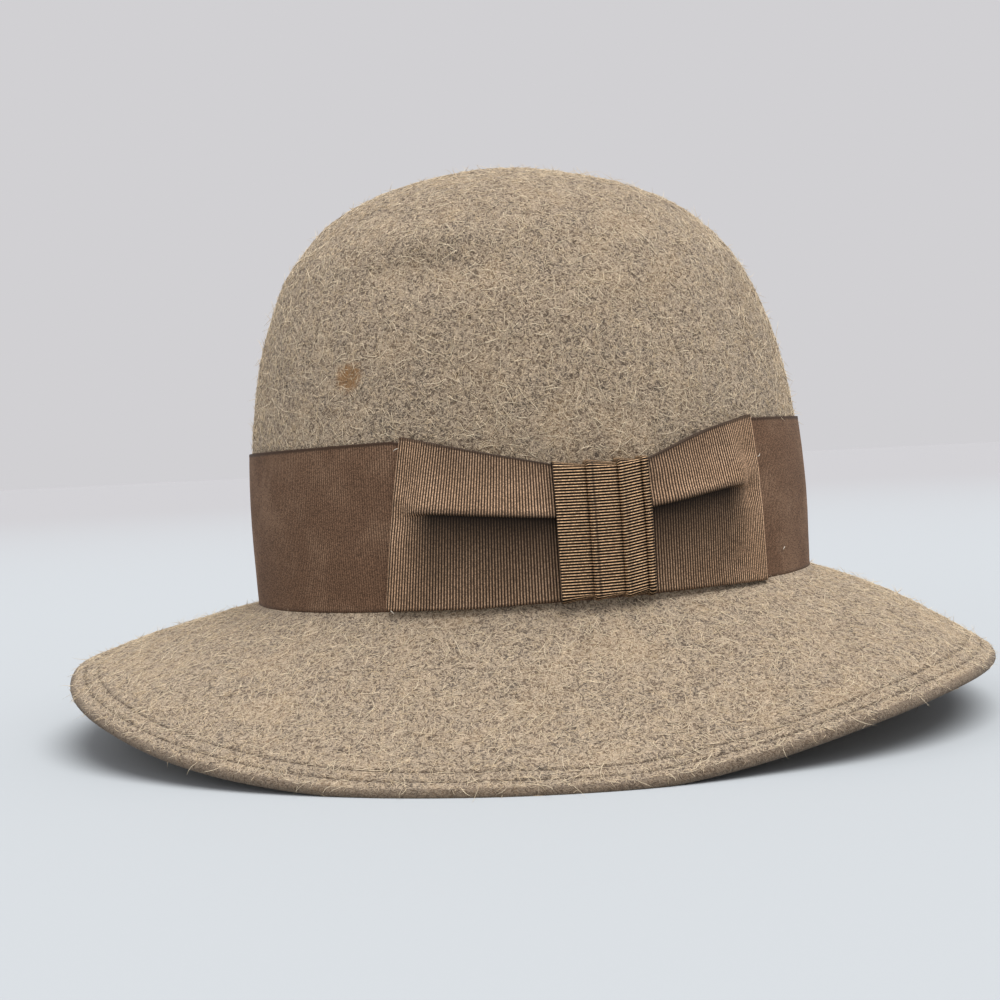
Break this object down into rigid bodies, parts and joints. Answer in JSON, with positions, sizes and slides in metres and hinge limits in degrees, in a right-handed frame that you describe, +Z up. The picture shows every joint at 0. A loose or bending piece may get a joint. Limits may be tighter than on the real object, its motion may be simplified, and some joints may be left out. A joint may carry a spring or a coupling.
{
  "type": "felt cloche hat",
  "caption": "Soft felt cloche hat with a round crown, a drooping stitched brim, a wide ribbed hat band and a flat pleated bow at one side.",
  "frame": {"origin": "on the surface that the hat stands on, below the middle of the brim's outline", "axes": "+X towards the hat's front, +Y towards the plain side, so that the bow is on the -Y side, +Z up"},
  "size_m": [0.3199, 0.2838, 0.1919],
  "materials": {
    "felt": "long-haired fur felt, fawn mixed with cream, brown and grey hairs, matt",
    "band_ribbon": "grosgrain ribbon, dull brown, rubbed",
    "bow_ribbon": "grosgrain ribbon, brown, with strong fine ribs and a low sheen"
  },
  "bodies": {
    "root": {"felt_body": "felt", "hat_band": "band_ribbon", "bow_loop_back": "bow_ribbon", "bow_loop_front": "bow_ribbon", "bow_knot": "bow_ribbon"}
  },
  "joints": []
}
